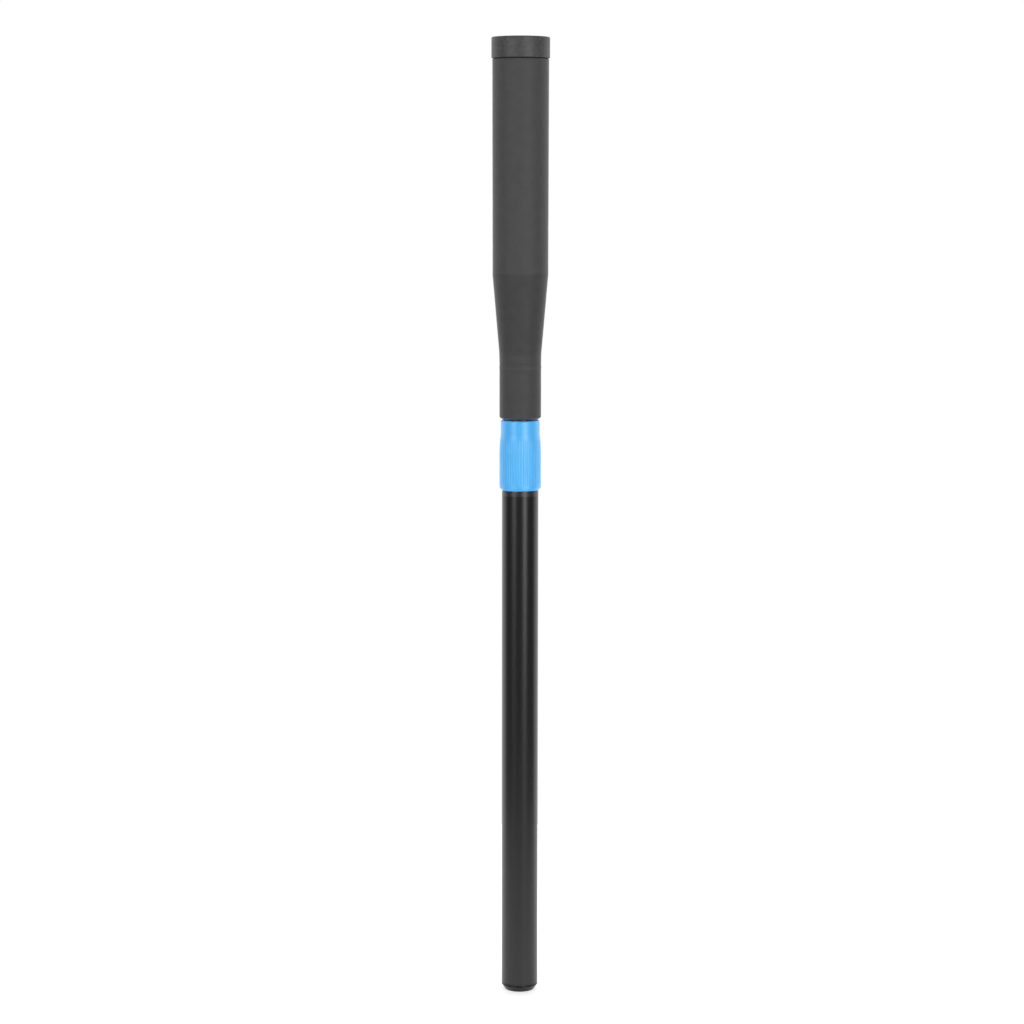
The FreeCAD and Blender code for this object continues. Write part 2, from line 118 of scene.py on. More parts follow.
def foot_top_radius(node):
    low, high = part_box(node)
    return low.z, high.z, high.x


class Finish:
    """A material under construction: one shader, and nodes wired to it by name."""

    def __init__(self, name, colour, roughness, sockets=()):
        self.material = bpy.data.materials.new(name)
        self.material.use_nodes = True
        self.tree = self.material.node_tree
        self.shader = self.tree.nodes["Principled BSDF"]
        self.shader.inputs["Base Color"].default_value = (*colour, 1)
        self.shader.inputs["Roughness"].default_value = roughness
        for socket, value in dict(sockets).items():
            self.shader.inputs[socket].default_value = value
        self.place = self.node("ShaderNodeTexCoord").outputs["Object"]

    def node(self, kind, links=(), **settings):
        made = self.tree.nodes.new(kind)
        for setting, value in settings.items():
            setattr(made, setting, value)
        for socket, source in dict(links).items():
            if isinstance(source, bpy.types.NodeSocket):
                self.tree.links.new(source, made.inputs[socket])
            else:
                made.inputs[socket].default_value = source
        return made

    def stretched(self, across, along):
        """Object coordinates with one scale across the pole and another along it."""
        return self.node(
            "ShaderNodeMapping",
            {"Vector": self.place, "Scale": (across, across, along)},
        ).outputs["Vector"]

    def noise(self, place, scale, detail=2.0, roughness=0.5):
        return self.node(
            "ShaderNodeTexNoise",
            {"Vector": place, "Scale": scale, "Detail": detail, "Roughness": roughness},
        ).outputs["Fac"]

    def ranged(self, value, low, high, from_low=0.0, from_high=1.0):
        return self.node(
            "ShaderNodeMapRange",
            {0: value, 1: from_low, 2: from_high, 3: low, 4: high},
        ).outputs["Result"]

    def tinted(self, value, dark, light):
        """The base colour runs from dark to light as value runs from 0 to 1."""
        mix = self.node("ShaderNodeMix", {0: value}, data_type="RGBA")
        mix.inputs[6].default_value = (*dark, 1)
        mix.inputs[7].default_value = (*light, 1)
        self.tree.links.new(mix.outputs[2], self.shader.inputs["Base Color"])

    def dulled(self, value, low, high):
        self.tree.links.new(self.ranged(value, low, high), self.shader.inputs["Roughness"])

    def bumped(self, height, depth, strength=1.0):
        """Raises the surface by depth metres where height is 1, on top of any bump before."""
        bump = self.node("ShaderNodeBump", {"Height": height, "Distance": depth})
        bump.inputs["Strength"].default_value = strength
        before = self.shader.inputs["Normal"].links
        if before:
            self.tree.links.new(before[0].from_socket, bump.inputs["Normal"])
        self.tree.links.new(bump.outputs["Normal"], self.shader.inputs["Normal"])


black_anodised = Finish("black_anodised_tube", (0.011, 0.011, 0.0115), 0.3)
draw_lines = black_anodised.noise(black_anodised.stretched(across=1, along=0.004), scale=2600, detail=3)
black_anodised.dulled(draw_lines, low=0.25, high=0.37)
black_anodised.tinted(draw_lines, dark=(0.009, 0.009, 0.0095), light=(0.013, 0.013, 0.0135))
black_anodised.bumped(draw_lines, depth=0.004 * MM)

tube_foot, tube_top, tube_radius = foot_top_radius("outer_tube")
tube_wall = 1.6 * MM
tube_bore = tube_radius - tube_wall
tube_chamfer = 0.35 * MM
black_tube = turned(
    "black_tube",
    [
        (tube_bore, tube_foot),
        (tube_radius - tube_chamfer, tube_foot),
        (tube_radius, tube_foot + tube_chamfer),
        (tube_radius, tube_top),
        (tube_bore, tube_top),
    ],
)
break_edges(black_tube, width=0.08 * MM)
fitted(black_tube, "outer_section", "black_anodised", black_anodised.material, "outer_tube")

# Tip plug -------------------------------------------------------------------------------
# A turned aluminium plug, anodised with the tube and bonded in its foot. The flange shows as
# a short bevelled nose with a fine seam above it; the tool left faint rings on its faces.

plug_foot, plug_top, plug_radius = foot_top_radius("tip_plug")
insert_foot, insert_top, insert_radius = foot_top_radius("thread_insert")
nose_face_radius = plug_radius - 3.2 * MM
nose_bevel_height = 4.5 * MM
seam_foot = 5.1 * MM
seam_depth = 0.4 * MM
seam_slope = 0.25 * MM

turned_black = Finish("turned_black_anodised", (0.009, 0.009, 0.0095), 0.32, {"IOR": 1.35})
tool_rings = turned_black.noise(turned_black.stretched(across=1, along=1), scale=900, detail=2)
turned_black.dulled(tool_rings, low=0.28, high=0.38)
turned_black.bumped(tool_rings, depth=0.004 * MM)

tip_nose = turned(
    "tip_nose",
    [
        (insert_radius, insert_top),
        (insert_radius, plug_foot),
        (nose_face_radius, plug_foot),
        (plug_radius, nose_bevel_height),
        (plug_radius, seam_foot - seam_slope),
        (plug_radius - seam_depth, seam_foot),
        (plug_radius - seam_depth, tube_foot),
        (tube_bore, tube_foot),
        (tube_bore, plug_top),
    ],
    capped=True,
)
break_edges(tip_nose, width=0.15 * MM)
fitted(tip_nose, "outer_section", "tip_black", turned_black.material, "tip_plug")

# Thread insert --------------------------------------------------------------------------
# A brass bush pressed in the plug, flush with its face. It has the 3/8 inch microphone
# thread, 16 turns to the inch, cut with a lead-in at its mouth.

brass = Finish("turned_brass", (0.62, 0.44, 0.17), 0.28, {"Metallic": 1.0})
lathe_marks = brass.noise(brass.stretched(across=1, along=1), scale=1400, detail=2)
brass.dulled(lathe_marks, low=0.22, high=0.38)
brass.tinted(lathe_marks, dark=(0.55, 0.38, 0.14), light=(0.68, 0.5, 0.2))

thread_pitch = 25.4 / 16 * MM
thread_minor = 3.99 * MM
thread_major = 4.7 * MM
thread_depth = 14 * MM
drill_point = 1.6 * MM
drill_tip = 0.05 * MM
lead_in = 0.6 * MM
brass_socket = turned(
    "brass_socket",
    [
        (drill_tip, thread_depth + drill_point),
        (thread_major, thread_depth),
        (thread_major, lead_in),
        (thread_major + lead_in, insert_foot),
        (insert_radius, insert_foot),
        (insert_radius, insert_top),
    ],
    sides=SMALL_ROUND,
    capped=True,
)
break_edges(brass_socket, width=0)

# The thread's crest is a three-cornered tooth, screwed up the bore turn by turn.
thread_steps = 48
thread_turns = int((thread_depth - 2 * lead_in) / thread_pitch) - 1
tooth_size = 0.49 * thread_pitch
bpy.ops.object.select_all(action="DESELECT")
bpy.ops.mesh.primitive_circle_add(
    vertices=3,
    radius=tooth_size,
    fill_type="NGON",
    location=(thread_minor + tooth_size, 0, 2 * lead_in),
    rotation=(math.radians(90), math.radians(-90), 0),
)
bpy.ops.object.transform_apply(location=True, rotation=True, scale=True)
thread_crest = bpy.context.object
apply_modifier(
    thread_crest,
    "SCREW",
    axis="Z",
    angle=math.tau,
    screw_offset=thread_pitch,
    iterations=thread_turns,
    steps=thread_steps,
    render_steps=thread_steps,
    use_merge_vertices=True,
)
bpy.ops.object.select_all(action="DESELECT")
thread_crest.select_set(True)
brass_socket.select_set(True)
bpy.context.view_layer.objects.active = brass_socket
bpy.ops.object.join()
fitted(brass_socket, "outer_section", "brass", brass.material, "thread_insert")

# Lock ferrule ---------------------------------------------------------------------------
# Moulded black nylon, bonded in the tube's mouth. Its flange is the dull ring between tube
# and collar. The neck inside the collar holds the dust ring and the snap ring, and its thread
# is left plain, because it is never in sight.

moulded_black = Finish("moulded_black_nylon", (0.016, 0.016, 0.0165), 0.37, {"IOR": 1.7})
spark_grain = moulded_black.noise(moulded_black.place, scale=3200, detail=2)
moulded_black.dulled(spark_grain, low=0.33, high=0.42)
moulded_black.bumped(spark_grain, depth=0.008 * MM)

ferrule_foot, ferrule_top, _ = foot_top_radius("lock_ferrule")
inner_foot, inner_top, inner_radius = foot_top_radius("inner_tube")
collar_foot, collar_top, grip_radius = foot_top_radius("locking_collar")
flange_top = collar_foot - 0.4 * MM
ferrule_bore = inner_radius + 0.08 * MM
neck_radius = tube_radius - 0.8 * MM
rebate_depth = 0.6 * MM
rebate_height = 0.9 * MM
groove_floor = neck_radius - 1.1 * MM
groove_foot = flange_top + 1.9 * MM
groove_top = groove_foot + 1.6 * MM
seat_depth = 6.5 * MM
seat_rim = 0.6 * MM
snap_low, snap_high, snap_radius = foot_top_radius("snap_ring")
snap_floor = neck_radius - 1.2 * MM

ferrule_body = turned(
    "ferrule_body",
    [
        (ferrule_bore, ferrule_foot),
        (tube_bore, ferrule_foot),
        (tube_bore, tube_top),
        (tube_radius, tube_top),
        (tube_radius, flange_top - rebate_height),
        (tube_radius - rebate_depth, flange_top - rebate_height),
        (tube_radius - rebate_depth, flange_top),
        (neck_radius, flange_top),
        (neck_radius, groove_foot),
        (groove_floor, groove_foot),
        (groove_floor, groove_top),
        (neck_radius, groove_top),
        (neck_radius, snap_low),
        (snap_floor, snap_low),
        (snap_floor, snap_high),
        (neck_radius, snap_high),
        (neck_radius, ferrule_top),
        (neck_radius - seat_rim, ferrule_top),
        (ferrule_bore, ferrule_top - seat_depth),
    ],
)
break_edges(ferrule_body, width=0.1 * MM, segments=2)
fitted(ferrule_body, "outer_section", "ferrule_black", moulded_black.material, "lock_ferrule")

# Locking collar -------------------------------------------------------------------------
# One moulding in blue nylon: a gripping sleeve with fine flutes, which flares in to a narrow
# plain nose, and a small lip at its foot. It screws down over the ferrule to close the lock.
# The material glows faintly, only to lift the blue above what the lights give it.

collar_blue = Finish(
    "moulded_blue_nylon",
    (0.07, 0.55, 1.0),
    0.4,
    {"IOR": 1.9, "Emission Color": (0.0, 0.02, 1.0, 1.0), "Emission Strength": 0.13},
)
flow = collar_blue.noise(collar_blue.stretched(across=1, along=0.3), scale=160, detail=2)
collar_blue.tinted(flow, dark=(0.066, 0.55, 1.0), light=(0.078, 0.59, 1.0))
fine_grain = collar_blue.noise(collar_blue.place, scale=2500, detail=2)
collar_blue.dulled(fine_grain, low=0.37, high=0.45)
collar_blue.bumped(fine_grain, depth=0.006 * MM)

flute_count = 48
columns_per_flute = 8
flute_depths = {0: 0.2 * MM, 1: 0.13 * MM, 7: 0.13 * MM, 2: 0.03 * MM, 6: 0.03 * MM}
lip_radius = tube_radius + 0.85 * MM
lip_top = collar_foot + 1.4 * MM
lip_round = 0.7 * MM
sleeve_radius = grip_radius - 0.12 * MM
foot_round = 0.6 * MM
flute_foot = collar_foot + 4.6 * MM
flute_run_in = 0.8 * MM
flare_foot = collar_foot + 31.5 * MM
flare_top = flare_foot + 11 * MM
flare_ease = 1.2
flare_steps = 10
flute_bands = 4
step_radius = tube_radius + 1.5 * MM
step_rise = 4.5 * MM
nose_land = 0.3 * MM
mouth_break = 0.3 * MM
nose_foot = flare_top + step_rise
nose_radius = tube_radius + 1 * MM
nose_round = 1.3 * MM
collar_bore = inner_radius + 0.4 * MM
wiper_foot, wiper_top, wiper_radius = foot_top_radius("wiper_seal")
_, washer_high, _ = foot_top_radius("thrust_washer")
shoulder = washer_high + 0.15 * MM
relief_radius = snap_radius + 0.07 * MM
thread_bore = neck_radius + 0.06 * MM
lock_thread_foot = collar_foot + 5.4 * MM
lock_thread_top = lock_thread_foot + 15 * MM
skirt_bore = neck_radius + 0.36 * MM


def quarter(centre_radius, centre_height, size, first, steps=5):
    """Corners of a quarter round, from the angle first, anticlockwise."""
    return [
        (
            centre_radius + size * math.cos(math.radians(first + 90 * i / steps)),
            centre_height + size * math.sin(math.radians(first + 90 * i / steps)),
        )
        for i in range(steps + 1)
    ]


def flare(share):
    """The flare's outline: straight up from the sleeve, then curving in."""
    ease = share ** flare_ease
    return (
        sleeve_radius - (sleeve_radius - step_radius) * ease,
        flare_foot + (flare_top - flare_foot) * share,
    )


fluted_collar = turned(
    "fluted_collar",
    [
        (skirt_bore, collar_foot),
    ]
    + quarter(lip_radius - lip_round, collar_foot + lip_round, lip_round, -90)
    + [(lip_radius, lip_top)]
    + quarter(sleeve_radius - foot_round, lip_top + foot_round, foot_round, -90)
    + [(sleeve_radius, flute_foot), (sleeve_radius, flute_foot + flute_run_in)]
    + [
        (sleeve_radius, flute_foot + (flare_foot - flute_foot) * i / flute_bands)
        for i in range(1, flute_bands)
    ]
    + [flare(i / flare_steps) for i in range(flare_steps + 1)]
    + [
        (step_radius - (step_radius - nose_radius) * share, flare_top + step_rise * share)
        for share in (0.1, 0.9)
    ]
    + [(nose_radius, nose_foot + nose_land)]
    + quarter(nose_radius - nose_round, collar_top - nose_round, nose_round, 0)
    + [
        (collar_bore + mouth_break, collar_top),
        (collar_bore, collar_top - mouth_break),
        (collar_bore, wiper_top),
        (wiper_radius, wiper_top),
        (wiper_radius, wiper_foot),
        (collar_bore, wiper_foot),
        (collar_bore, shoulder),
        (relief_radius, shoulder),
        (relief_radius, lock_thread_top),
        (thread_bore, lock_thread_top),
        (thread_bore, lock_thread_foot),
        (skirt_bore, lock_thread_foot),
    ],
    sides=flute_count * columns_per_flute,
)

# Each column of the sleeve is drawn in towards the axis by its place in the flute.
bpy.context.view_layer.objects.active = fluted_collar
bpy.ops.object.mode_set(mode="EDIT")
bpy.ops.mesh.select_mode(type="VERT")
sleeve = bmesh.from_edit_mesh(fluted_collar.data)
pick_margin = 0.1 * MM
column_angle = math.tau / (flute_count * columns_per_flute)
for phase, depth in flute_depths.items():
    bpy.ops.mesh.select_all(action="DESELECT")
    for corner in sleeve.verts:
        column = round(math.atan2(corner.co.y, corner.co.x) / column_angle)
        out = math.hypot(corner.co.x, corner.co.y)
        in_sleeve = flute_foot + flute_run_in / 2 < corner.co.z < flare_top + pick_margin
        corner.select = (
            in_sleeve and out > nose_radius and column % columns_per_flute == phase
        )
    sleeve.select_flush_mode()
    bmesh.update_edit_mesh(fluted_collar.data)
    draw_in = 1 - depth / sleeve_radius
    bpy.ops.transform.resize(value=(draw_in, draw_in, 1), center_override=(0, 0, 0))
bpy.ops.object.mode_set(mode="OBJECT")
break_edges(fluted_collar, width=0, sharp=38)
fitted(fluted_collar, "collar", "collar_blue", collar_blue.material, "locking_collar")

# Wiper seal -----------------------------------------------------------------------------
# A black rubber lip in the collar's nose. It keeps grit out and quiets the inner tube, and
# shows as a thin dark ring in the collar's mouth when the handle is drawn out.

soft_black = Finish("black_rubber", (0.012, 0.012, 0.012), 0.6)
rubber_bloom = soft_black.noise(soft_black.place, scale=1500, detail=3)
soft_black.dulled(rubber_bloom, low=0.5, high=0.75)
soft_black.bumped(rubber_bloom, depth=0.01 * MM)

lip_bore = inner_radius + 0.06 * MM
seal_bore = inner_radius + 0.6 * MM
lip_edge = 0.25 * MM
lip_land = 0.6 * MM
wiper_lip = turned(
    "wiper_lip",
    [
        (seal_bore, wiper_foot),
        (wiper_radius, wiper_foot),
        (wiper_radius, wiper_top),
        (lip_bore + lip_edge, wiper_top),
        (lip_bore, wiper_top - lip_edge),
        (lip_bore, wiper_top - lip_land),
        (seal_bore, (wiper_foot + wiper_top) / 2),
    ],
)
break_edges(wiper_lip, width=0.08 * MM, segments=2)
fitted(wiper_lip, "collar", "black_rubber", soft_black.material, "wiper_seal")

# Inner tube -----------------------------------------------------------------------------
# The handle's tube, 25 mm drawn aluminium with the same black anodising. It slides through
# the collet and is seen only when the pole is drawn out.

tube_draw = 1.5 * MM
inner_pole = turned(
    "inner_pole",
    [
        (inner_radius - tube_draw, inner_foot),
        (inner_radius, inner_foot),
        (inner_radius, inner_top),
        (inner_radius - tube_draw, inner_top),
    ],
)
break_edges(inner_pole, width=0.12 * MM)
fitted(inner_pole, "handle", "black_anodised", black_anodised.material, "inner_tube")

# Working parts inside ------------------------------------------------------------------
# The buffer, dust ring, snap ring, collet, washer, glide, stop ring and two plugs stay as
# designed. Acetal runs against the tubes, rubber seals and cushions, and the snap ring is
# phosphated spring steel.

natural_acetal = Finish("natural_acetal", (0.78, 0.76, 0.69), 0.42, {"Subsurface Weight": 0.1})
acetal_flow = natural_acetal.noise(natural_acetal.place, scale=400, detail=3)
natural_acetal.tinted(acetal_flow, dark=(0.74, 0.72, 0.64), light=(0.82, 0.8, 0.74))
natural_acetal.dulled(acetal_flow, low=0.36, high=0.5)

spring_steel = Finish("phosphated_spring_steel", (0.16, 0.16, 0.17), 0.45, {"Metallic": 1.0})
crystals = spring_steel.noise(spring_steel.place, scale=5000, detail=2)
spring_steel.dulled(crystals, low=0.38, high=0.55)

clear_anodised = Finish("clear_anodised", (0.72, 0.73, 0.75), 0.34, {"Metallic": 1.0})
facing = clear_anodised.noise(clear_anodised.stretched(across=1, along=0.1), scale=1800, detail=2)
clear_anodised.dulled(facing, low=0.28, high=0.42)

inside_finishes = {
    "buffer_pad": soft_black,
    "dust_ring": soft_black,
    "snap_ring": spring_steel,
    "collet": natural_acetal,
    "thrust_washer": natural_acetal,
    "glide_ring": natural_acetal,
    "stop_ring": clear_anodised,
    "end_plug": moulded_black,
    "butt_plug": moulded_black,
}
for node, finish in inside_finishes.items():
    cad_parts[node].material_slots[0].material = finish.material

# Foam grip ------------------------------------------------------------------------------
# Closed-cell foam with a straight neck, a cone and a thick barrel, pushed on the inner tube.
# Five faint rings of relief go round the neck, with painted shade in their grooves and
# painted highlights on their ridges. The cone is tinted darker and the barrel lighter by
# height, to stand in for stronger light from above than the two soft lights give.

grip_foot, grip_top, barrel_radius = foot_top_radius("foam_grip")
neck_foam_radius = inner_radius + 4.95 * MM
neck_foot_radius = inner_radius + 3.3 * MM
barrel_foot_radius = inner_radius + 10.72 * MM
neck_bevel = 1.5 * MM
foot_edge = 0.4 * MM
foot_edge_rise = 0.25 * MM
bevel_blend_rise = 0.45 * MM
bead_proud = 0.3 * MM
bead_rise = 0.5 * MM
bead_edge_proud = 0.22 * MM
bead_edge_rise = 0.12 * MM
neck_top = grip_foot + 53.4 * MM
cone_top = neck_top + 66.7 * MM
recess_radius = inner_radius + 1.5 * MM
shoulder_blend = 5 * MM
# Each ring: rise above the grip's foot and width in mm, and a signed size for its relief
# and for its painted shade in a groove (below 0) or painted highlight on a ridge (above 0).
neck_rings = [
    (38.7, 0.8, -0.14),
    (40.8, 0.7, -0.12),
    (42.9, 1.3, 0.24),
    (46.6, 0.8, -0.24),
    (51.6, 1.8, 0.08),
]
ring_relief = 0.6 * MM
foam_ring_step = 0.8 * MM


def foam_radius(level):
    """The moulded outline: neck, cone and barrel, with the two changes of slope softened."""
    cone_share = (level - neck_top) / (cone_top - neck_top)
    cone = neck_foam_radius + (barrel_foot_radius - neck_foam_radius) * cone_share
    barrel_share = (level - cone_top) / (grip_top - cone_top)
    barrel = barrel_foot_radius + (barrel_radius - barrel_foot_radius) * barrel_share
    radius = barrel if level > cone_top else max(cone, neck_foam_radius)
    from_bend = abs(level - neck_top)
    if from_bend < shoulder_blend:
        slope = (barrel_foot_radius - neck_foam_radius) / (cone_top - neck_top)
        radius += slope * (shoulder_blend - from_bend) ** 2 / (4 * shoulder_blend)
    for rise, width, relief_and_painted_light in neck_rings:
        off = (level - grip_foot - rise * MM) / (width * MM / 2)
        radius += ring_relief * relief_and_painted_light * math.exp(-off * off)
    return radius


foam_body_foot = grip_foot + neck_bevel
barrel_bead_foot = 1.2 * MM
foam_body_top = grip_top - barrel_bead_foot
foam_rings = round((foam_body_top - foam_body_foot) / foam_ring_step)
foam_heights = [
    foam_body_foot + (foam_body_top - foam_body_foot) * i / foam_rings
    for i in range(foam_rings + 1)
]
soft_grip = turned(
    "soft_grip",
    [
        (inner_radius, grip_foot),
        (neck_foot_radius - foot_edge, grip_foot),
        (neck_foot_radius, grip_foot + foot_edge_rise),
        (neck_foam_radius - foot_edge, grip_foot + neck_bevel - bevel_blend_rise),
    ]
    + [(foam_radius(level), level) for level in foam_heights]
    + [
        (barrel_radius + bead_proud, grip_top - bead_rise),
        (barrel_radius + bead_edge_proud, grip_top - bead_edge_rise),
        (barrel_radius, grip_top),
        (recess_radius, grip_top),
        (recess_radius, inner_top),
        (inner_radius, inner_top),
    ],
)
unevenness = bpy.data.textures.new("foam_unevenness", "CLOUDS")
unevenness.noise_scale = 9 * MM
unevenness.noise_depth = 2
apply_modifier(
    soft_grip, "DISPLACE", texture=unevenness, strength=0.12 * MM, texture_coords="LOCAL"
)
break_edges(soft_grip, width=0, sharp=25)

grip_foam = Finish(
    "closed_cell_foam",
    (0.046, 0.046, 0.0475),
    0.65,
    {"IOR": 1.6, "Sheen Weight": 0.3, "Sheen Roughness": 0.3},
)
cells = grip_foam.noise(grip_foam.place, scale=1700, detail=3, roughness=0.6)
pores = grip_foam.node(
    "ShaderNodeTexVoronoi", {"Vector": grip_foam.place, "Scale": 1500.0}
).outputs["Distance"]
blotches = grip_foam.noise(grip_foam.place, scale=150, detail=3)
speckle = grip_foam.node(
    "ShaderNodeMath", {0: cells, 1: blotches}, operation="ADD"
).outputs["Value"]
foam_height = grip_foam.node("ShaderNodeSeparateXYZ", {"Vector": grip_foam.place}).outputs["Z"]
speckle_shade = 0.14
cone_shade = -0.2
barrel_shade = 0.15
cone_end = (cone_top + 0.5 * MM, cone_top + 2 * MM)
neck_end = (neck_top - 1 * MM, neck_top + 4 * MM)
# The speckle is the foam's own random tone; the bands by height are painted shade over the cone and
# painted light over the barrel.
shades = [
    grip_foam.ranged(speckle, 0.5 - speckle_shade, 0.5 + speckle_shade, 0.75, 1.25),
    grip_foam.ranged(foam_height, cone_shade, barrel_shade, *cone_end),
    grip_foam.ranged(foam_height, -cone_shade, 0, *neck_end),
]
# Each ring's band of painted shade over its groove, or painted highlight over its ridge.
for rise, width, relief_and_painted_light in neck_rings:
    above = grip_foam.node(
        "ShaderNodeMath", {0: foam_height, 1: grip_foot + rise * MM}, operation="SUBTRACT"
    ).outputs["Value"]
    off_ring = grip_foam.node(
        "ShaderNodeMath", {0: above}, operation="ABSOLUTE"
    ).outputs["Value"]
    shades.append(grip_foam.ranged(off_ring, relief_and_painted_light, 0, 0, width * MM))
shade_sum = shades[0]
for added in shades[1:]:
    shade_sum = grip_foam.node(
        "ShaderNodeMath", {0: shade_sum, 1: added}, operation="ADD"
    ).outputs["Value"]
grip_foam.tinted(shade_sum, dark=(0.029, 0.029, 0.03), light=(0.067, 0.067, 0.069))
grip_foam.dulled(cells, low=0.6, high=0.7)
grip_foam.bumped(cells, depth=0.05 * MM, strength=0.6)
grip_foam.bumped(pores, depth=0.03 * MM, strength=0.5)
fitted(soft_grip, "handle", "grip_foam", grip_foam.material, "foam_grip")

# Cap gasket -----------------------------------------------------------------------------
# A thin rubber disc, a little smaller than the grip. The cap clamps it down, so its edge
# bulges out and shows as the fine dark line under the cap.

gasket_foot, gasket_top, gasket_radius = foot_top_radius("cap_gasket")
screw_hole = 3.3 * MM
gasket_bulge = 0.9 * MM
bulge_edge = 0.2 * MM
dark_gasket = turned(
    "dark_gasket",
    [
        (screw_hole, gasket_foot),
        (gasket_radius, gasket_foot),
        (gasket_radius + gasket_bulge, gasket_foot + bulge_edge),
        (gasket_radius + gasket_bulge, gasket_top - bulge_edge),
        (gasket_radius, gasket_top),
        (screw_hole, gasket_top),
    ],
)
break_edges(dark_gasket, width=0.1 * MM, segments=2)
fitted(dark_gasket, "handle", "black_rubber", soft_black.material, "cap_gasket")

# Butt cap -------------------------------------------------------------------------------
# A moulded rubber cap with a mottled, coarse surface and a rounded top rim. A recess in the
# middle takes the screw that holds it, and a shallow ring groove sets off its foot pad.

cap_foot, cap_top, cap_radius = foot_top_radius("butt_cap")
recess_bore = 6.6 * MM
recess_depth = 9 * MM
recess_break = 0.5 * MM
cap_bands = 8
rim_round = 0.9 * MM
foot_break = 0.4 * MM
pad_groove_radius = 18 * MM
pad_groove_width = 1.2 * MM
pad_groove_depth = 0.6 * MM

rubber_cap = turned(
    "rubber_cap",
    [(screw_hole, cap_foot)]
    + quarter(cap_radius - foot_break, cap_foot + foot_break, foot_break, -90, 3)
    + [(cap_radius, cap_foot + (cap_top - cap_foot) * i / cap_bands) for i in range(1, 7)]
    + quarter(cap_radius - rim_round, cap_top - rim_round, rim_round, 0, 6)
    + [
        (pad_groove_radius + pad_groove_width, cap_top),
        (pad_groove_radius + 0.7 * pad_groove_width, cap_top - pad_groove_depth),
        (pad_groove_radius + 0.3 * pad_groove_width, cap_top - pad_groove_depth),
        (pad_groove_radius, cap_top),
        (recess_bore + recess_break, cap_top),
        (recess_bore, cap_top - recess_break),
        (recess_bore, cap_top - recess_depth),
        (screw_hole, cap_top - recess_depth),
    ],
)
break_edges(rubber_cap, width=0, sharp=20)

cap_rubber = Finish("mottled_cap_rubber", (0.058, 0.058, 0.06), 0.52, {"IOR": 1.55})
mottle = cap_rubber.noise(cap_rubber.place, scale=420, detail=3, roughness=0.6)
stipple = cap_rubber.noise(cap_rubber.place, scale=1600, detail=2)
cap_rubber.tinted(
    cap_rubber.ranged(mottle, 0, 1, 0.3, 0.7),
    dark=(0.042, 0.042, 0.0435),
    light=(0.08, 0.08, 0.082),
)
cap_rubber.dulled(stipple, low=0.46, high=0.58)
cap_rubber.bumped(mottle, depth=0.14 * MM, strength=0.5)
cap_rubber.bumped(stipple, depth=0.03 * MM, strength=0.5)
fitted(rubber_cap, "handle", "cap_rubber", cap_rubber.material, "butt_cap")

# Cap screw and washer -------------------------------------------------------------------
# A zinc-plated M6 socket screw and its washer, sunk in the cap's recess. The screw runs down
# through cap and gasket into the plug bonded in the inner tube.

zinc_plate = Finish("zinc_plate", (0.6, 0.62, 0.65), 0.3, {"Metallic": 1.0})
plating = zinc_plate.noise(zinc_plate.place, scale=1200, detail=3)
zinc_plate.tinted(plating, dark=(0.52, 0.54, 0.58), light=(0.68, 0.7, 0.72))
zinc_plate.dulled(plating, low=0.24, high=0.4)

washer_foot, washer_top, washer_out = foot_top_radius("cap_washer")
plated_washer = turned(
    "plated_washer",
    [
        (screw_hole, washer_foot),
        (washer_out, washer_foot),
        (washer_out, washer_top),
        (screw_hole, washer_top),
    ],
    sides=SMALL_ROUND,
)
break_edges(plated_washer, width=0.15 * MM)
fitted(plated_washer, "handle", "steel", zinc_plate.material, "cap_washer")

screw_foot, screw_top, head_radius = foot_top_radius("cap_screw")
shank_radius = 3 * MM
point_break = 0.5 * MM
head_break = 0.4 * MM
socket_across = 5 * MM
socket_depth = 3 * MM
socket_screw = turned(
    "socket_screw",
    [
        (shank_radius - point_break, screw_foot),
        (shank_radius, screw_foot + point_break),
        (shank_radius, washer_top),
        (head_radius, washer_top),
        (head_radius, screw_top),
    ],
    sides=SMALL_ROUND,
    capped=True,
)
apply_modifier(
    socket_screw,
    "BEVEL",
    width=head_break,
    segments=3,
    limit_method="ANGLE",
    angle_limit=math.radians(50),
)
bpy.ops.object.select_all(action="DESELECT")
bpy.ops.mesh.primitive_cylinder_add(
    vertices=6,
    radius=socket_across / math.sqrt(3),
    depth=2 * socket_depth,
    location=(0, 0, screw_top),
)
hex_key = bpy.context.object
apply_modifier(socket_screw, "BOOLEAN", object=hex_key, operation="DIFFERENCE")
bpy.data.objects.remove(hex_key)
break_edges(socket_screw, width=0)
fitted(socket_screw, "handle", "steel", zinc_plate.material, "cap_screw")

# Studio ---------------------------------------------------------------------------------
# A pale floor that glows behind the pole and at its rim, a surround that lights from behind
# and is dim in front but always looks white to the camera, and two tall soft lights, left and
# right of the camera, which give the tube its two soft bands.

floor_radius = 0.6
floor_glow_behind = 0.8
floor_glow_span = (-0.4, 0.2)
floor_glow_at_rim = 0.4
bpy.ops.object.select_all(action="DESELECT")
bpy.ops.mesh.primitive_circle_add(vertices=128, radius=floor_radius, fill_type="NGON")
pale_floor = bpy.context.object
pale_floor.name = "pale_floor"
floor_paint = Finish("pale_floor_paint", (0.86, 0.86, 0.86), 0.9)
floor_paint.shader.inputs["Emission Color"].default_value = (1, 1, 1, 1)
floor_axes = floor_paint.node("ShaderNodeSeparateXYZ", {"Vector": floor_paint.place})
glow_behind = floor_paint.ranged(floor_axes.outputs["Y"], 0, floor_glow_behind, *floor_glow_span)
reach = floor_paint.node(
    "ShaderNodeVectorMath", {0: floor_paint.place}, operation="LENGTH"
).outputs["Value"]
glow_at_rim = floor_paint.ranged(reach, 0, floor_glow_at_rim, floor_radius / 2, floor_radius)
glow = floor_paint.node(
    "ShaderNodeMath", {0: glow_behind, 1: glow_at_rim}, operation="MAXIMUM"
).outputs["Value"]
floor_paint.tree.links.new(glow, floor_paint.shader.inputs["Emission Strength"])
floor_paint.dulled(floor_paint.noise(floor_paint.place, scale=30), low=0.86, high=0.94)
pale_floor.data.materials.append(floor_paint.material)

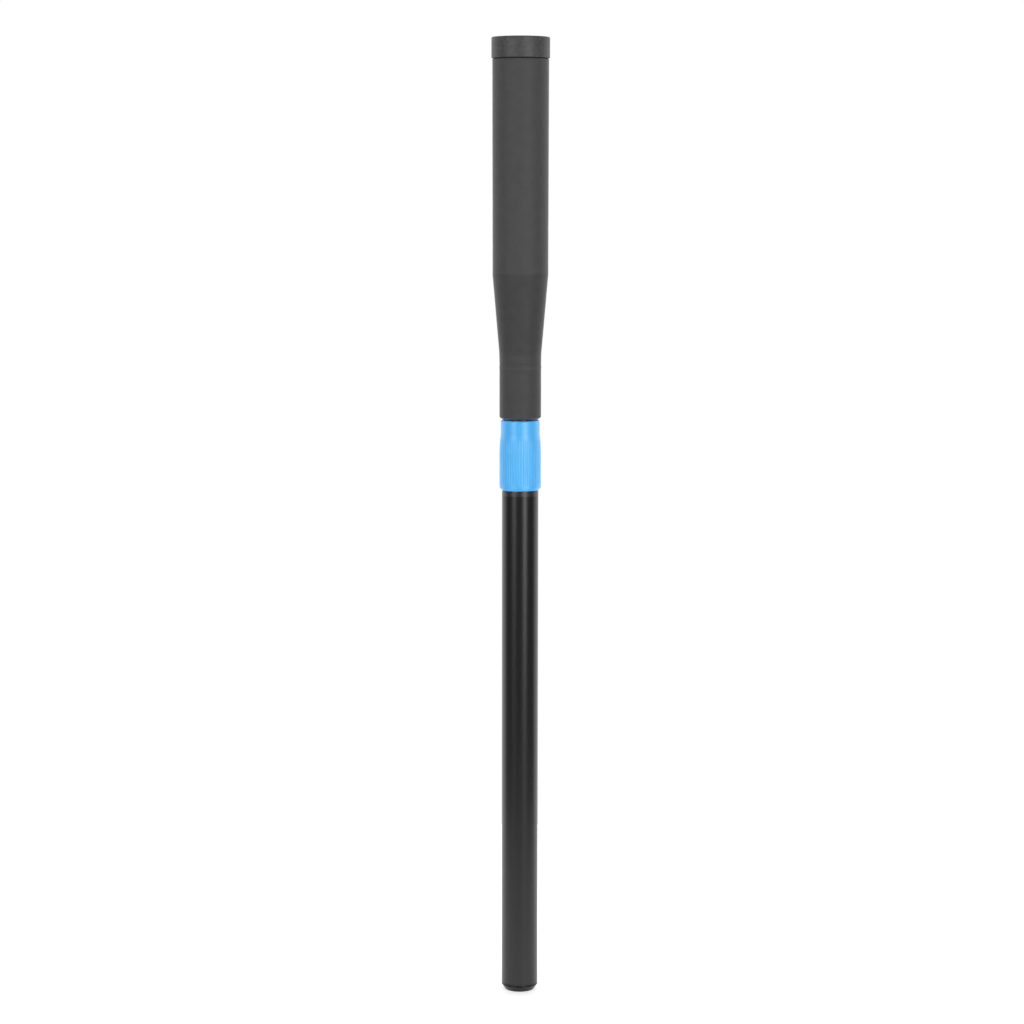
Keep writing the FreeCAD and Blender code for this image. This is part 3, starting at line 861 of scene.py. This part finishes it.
surround = bpy.data.worlds.new("studio_surround")
surround.use_nodes = True
surround_nodes = surround.node_tree.nodes
surround_links = surround.node_tree.links
direction = surround_nodes.new("ShaderNodeTexCoord")
axes = surround_nodes.new("ShaderNodeSeparateXYZ")
surround_links.new(direction.outputs["Generated"], axes.inputs[0])
behind = surround_nodes.new("ShaderNodeMapRange")
behind.interpolation_type = "SMOOTHSTEP"
dim_in_front = 0.07
bright_behind = 1.35
turning_point = 0.35
for socket, value in ((1, 0.0), (2, turning_point), (3, dim_in_front), (4, bright_behind)):
    behind.inputs[socket].default_value = value
surround_links.new(axes.outputs["Y"], behind.inputs[0])
seen = surround_nodes.new("ShaderNodeLightPath")
seen_level = surround_nodes.new("ShaderNodeMix")
seen_level.inputs[3].default_value = 1.0
surround_links.new(seen.outputs["Is Camera Ray"], seen_level.inputs[0])
surround_links.new(behind.outputs["Result"], seen_level.inputs[2])
surround_links.new(seen_level.outputs[0], surround_nodes["Background"].inputs["Strength"])
surround_nodes["Background"].inputs["Color"].default_value = (1, 1, 1, 1)
bpy.context.scene.world = surround
bpy.context.scene.view_settings.view_transform = "Standard"

soft_lights = {
    "left_light": (-38, 0.18, 21),
    "right_light": (30, 0.03, 28),
}
light_distance = 2.2
light_width = 0.8
light_height = 2.2
for name, (bearing, lower_edge, power) in soft_lights.items():
    bpy.ops.object.light_add(
        type="AREA",
        location=(
            light_distance * math.sin(math.radians(bearing)),
            -light_distance * math.cos(math.radians(bearing)),
            lower_edge + light_height / 2,
        ),
        rotation=(math.radians(90), 0, math.radians(bearing)),
    )
    soft_light = bpy.context.object
    soft_light.name = name
    soft_light.data.shape = "RECTANGLE"
    soft_light.data.size = light_width
    soft_light.data.size_y = light_height
    soft_light.data.energy = power

# The camera looks a little down from the height of the grip, with a long lens.
camera_place = (-0.0071, -2.228, 0.6777)
camera_tilt = 6.79
camera_roll = -0.055
lens = 93.6
film_width = 36
far_clip = 50
bpy.ops.object.camera_add(
    location=camera_place,
    rotation=(math.radians(90 - camera_tilt), math.radians(camera_roll), 0),
)
camera = bpy.context.object
camera.data.lens = lens
camera.data.sensor_width = film_width
camera.data.clip_end = far_clip
bpy.context.scene.camera = camera
